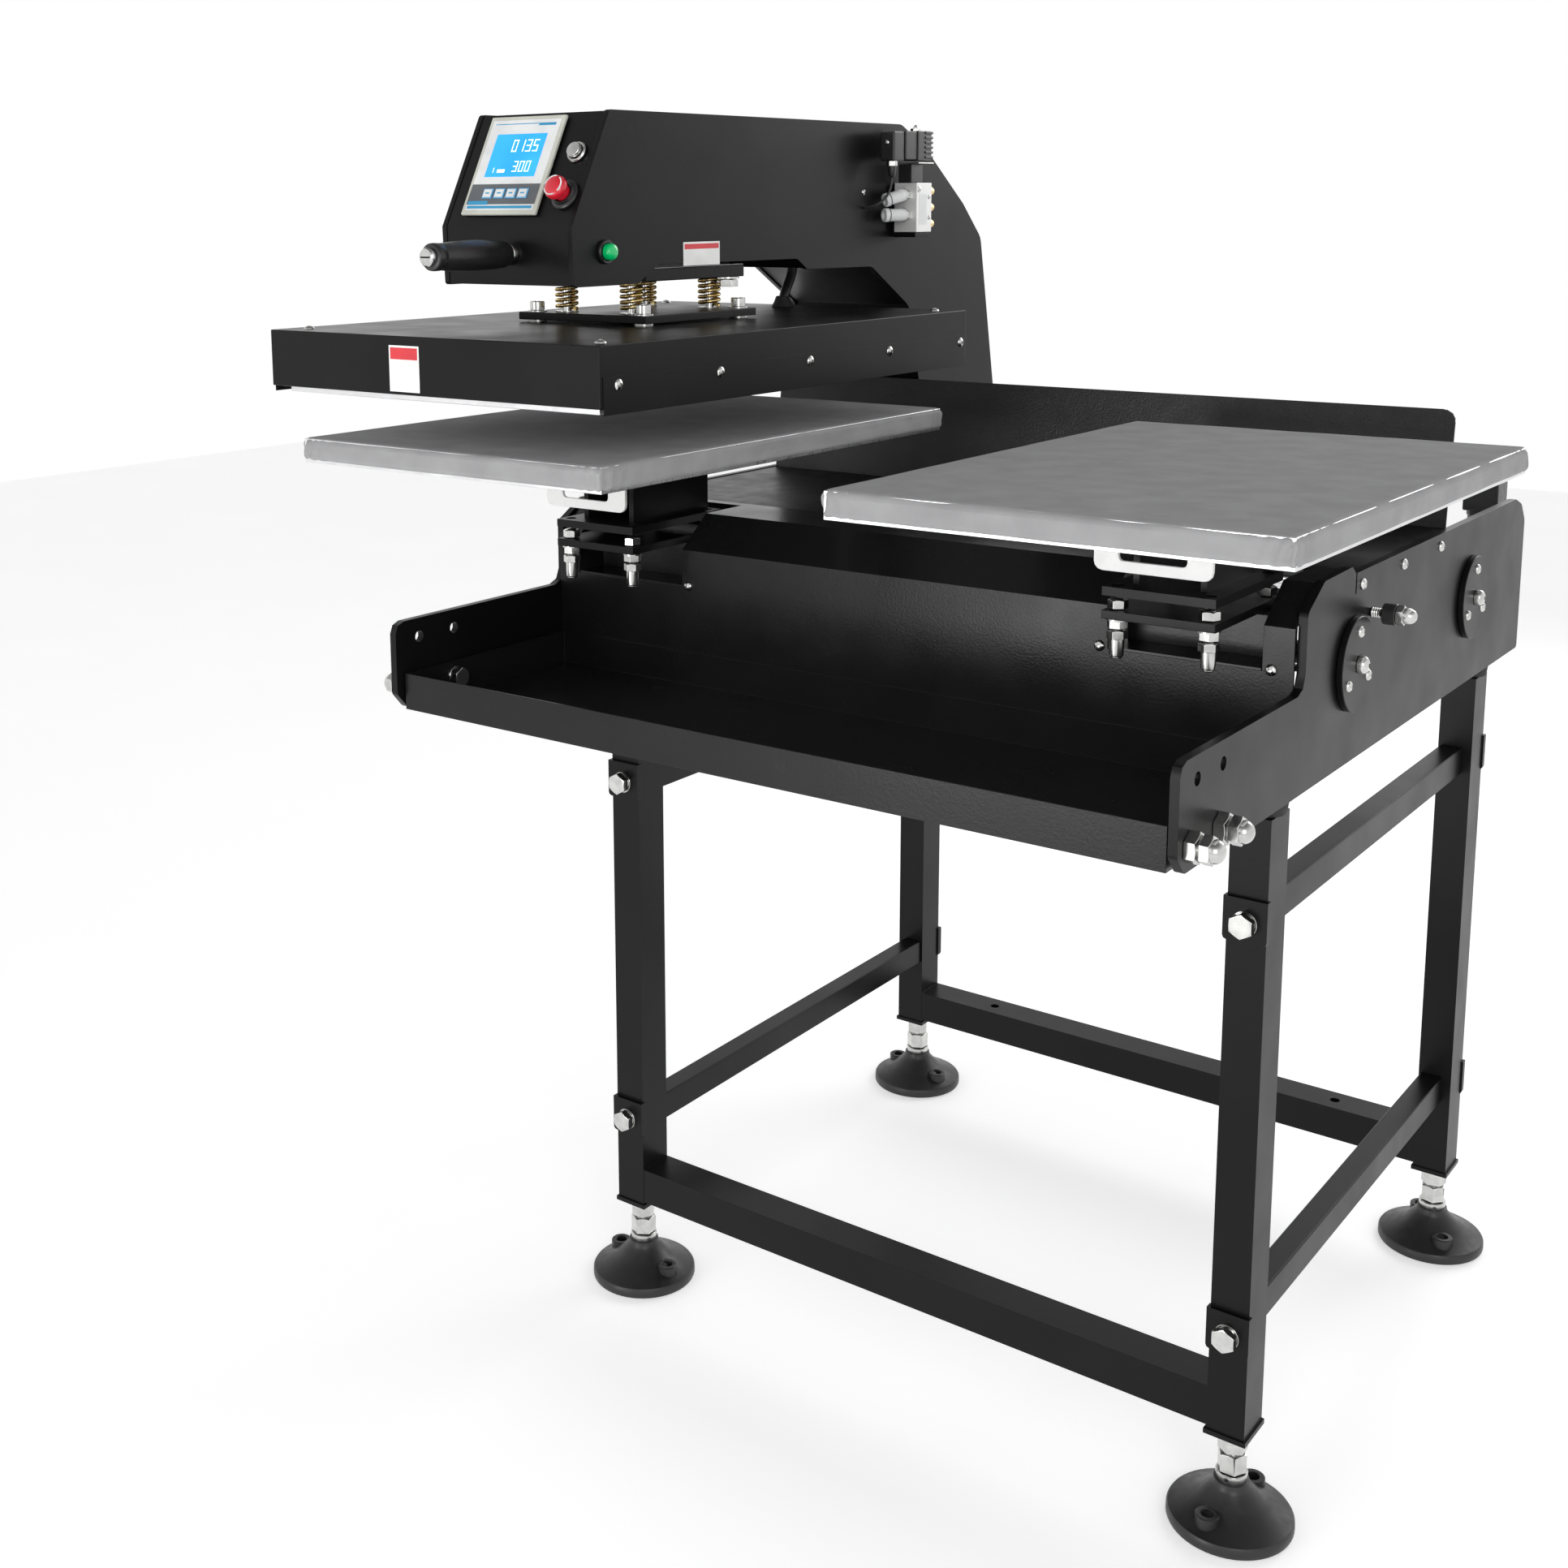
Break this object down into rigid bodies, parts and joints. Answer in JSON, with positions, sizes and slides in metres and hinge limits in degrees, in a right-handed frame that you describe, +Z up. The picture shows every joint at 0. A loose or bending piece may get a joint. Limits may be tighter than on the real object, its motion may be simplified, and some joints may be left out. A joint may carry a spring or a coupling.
{
  "type": "shuttle heat press",
  "caption": "Pneumatic heat press on a floor stand: a heated head on a shuttle arm travels between two cloth-covered platens above a tray.",
  "frame": {"origin": "on the floor under the middle of the machine's bounding box", "axes": "+Z up; the operator stands on the -Y side; +X is the machine's right as the operator sees it"},
  "size_m": [1.0506, 1.0674, 1.3575],
  "materials": {
    "aluminium": "milled",
    "bezel": "cream grey moulding with a blue display",
    "black_plastic": "moulded",
    "cable_black": "black sheath",
    "cast_block": "painted casting",
    "foot_nylon": "moulded nylon, with a zinc-plated stud",
    "green_lens": "glossy",
    "grey_fabric": "light grey woven cover, tightly drawn",
    "handle_white": "white lacquered sheet",
    "hard_chrome": "ground and hard-chromed",
    "powder_coat": "black fine-texture powder coat",
    "red_plastic": "glossy",
    "rubber": "moulded",
    "steel_zinc": "bright zinc-plated steel",
    "yellow_zinc": "yellow zinc-plated spring wire"
  },
  "bodies": {
    "stand": {"front_frame": "powder_coat", "rear_frame": "powder_coat", "side_rail_lower_left": "powder_coat", "side_rail_lower_right": "powder_coat", "side_rail_upper_left": "powder_coat", "side_rail_upper_right": "powder_coat", "levelling_foot_front_left": "foot_nylon", "levelling_foot_front_right": "foot_nylon", "levelling_foot_rear_left": "foot_nylon", "levelling_foot_rear_right": "foot_nylon", "rubber_mount_front_left": "rubber", "rubber_mount_front_right": "rubber", "rubber_mount_rear_left": "rubber", "rubber_mount_rear_right": "rubber", "side_plate_left": "powder_coat", "side_plate_right": "powder_coat", "tray": "powder_coat", "front_beam": "powder_coat", "top_cover": "powder_coat", "rear_beam": "powder_coat", "guide_shaft_front": "hard_chrome", "guide_shaft_rear": "hard_chrome", "shaft_cap_front_left": "powder_coat", "shaft_cap_front_right": "powder_coat", "shaft_cap_rear_left": "powder_coat", "shaft_cap_rear_right": "powder_coat", "travel_stop_left": "steel_zinc", "travel_stop_right": "steel_zinc", "air_regulator": "black_plastic", "support_plate_left": "powder_coat", "support_plate_right": "powder_coat", "platen_saddle_left": "powder_coat", "platen_saddle_right": "powder_coat", "platen_board_left": "aluminium", "platen_board_right": "aluminium", "platen_cover_left": "grey_fabric", "platen_cover_right": "grey_fabric"},
    "travelling_head": {"carriage": "cast_block", "arm_housing": "powder_coat", "control_panel": "powder_coat", "controller": "bezel", "air_cylinder": "aluminium", "solenoid_valve": "aluminium", "valve_lead": "cable_black"},
    "press_head": {"press_bar": "powder_coat", "head_spring_front_left": "yellow_zinc", "head_spring_front_right": "yellow_zinc", "head_spring_rear_left": "yellow_zinc", "head_spring_rear_right": "yellow_zinc", "mount_plate": "powder_coat", "heat_cover": "powder_coat", "heating_plate": "aluminium", "heater_cable": "cable_black"},
    "grip": {"handle_grip": "black_plastic"},
    "estop": {"estop_button": "red_plastic"},
    "power": {"power_button": "steel_zinc"},
    "start_left": {"start_button_left": "green_lens"},
    "start_right": {"start_button_right": "green_lens"},
    "release_left": {"release_handle_left": "handle_white"},
    "release_right": {"release_handle_right": "handle_white"}
  },
  "joints": [
    {"name": "shuttle", "type": "slide", "parent": "stand", "child": "travelling_head", "axis": [1, 0, 0], "range_m": [0, 0.632]},
    {"name": "press", "type": "slide", "parent": "travelling_head", "child": "press_head", "axis": [0, 0, -1], "range_m": [0, 0.0455], "deforming": ["heater_cable"]},
    {"name": "grip_turn", "type": "hinge", "parent": "travelling_head", "child": "grip", "pos_m": [-0.30175, -0.41595, 1.22], "axis": [0, -1, 0], "continuous": true},
    {"name": "estop_press", "type": "slide", "parent": "travelling_head", "child": "estop", "axis": [0, 0.8861, -0.4634], "range_m": [0, 0.004]},
    {"name": "power_press", "type": "slide", "parent": "travelling_head", "child": "power", "axis": [0, 0.8861, -0.4634], "range_m": [0, 0.0025], "stiffness_N_per_m": 400},
    {"name": "start_left_press", "type": "slide", "parent": "travelling_head", "child": "start_left", "axis": [1, 0, 0], "range_m": [0, 0.0025], "stiffness_N_per_m": 400},
    {"name": "start_right_press", "type": "slide", "parent": "travelling_head", "child": "start_right", "axis": [-1, 0, 0], "range_m": [0, 0.0025], "stiffness_N_per_m": 400},
    {"name": "release_left_pull", "type": "slide", "parent": "stand", "child": "release_left", "axis": [0, -1, 0], "range_m": [0, 0.025], "stiffness_N_per_m": 300},
    {"name": "release_right_pull", "type": "slide", "parent": "stand", "child": "release_right", "axis": [0, -1, 0], "range_m": [0, 0.025], "stiffness_N_per_m": 300}
  ]
}
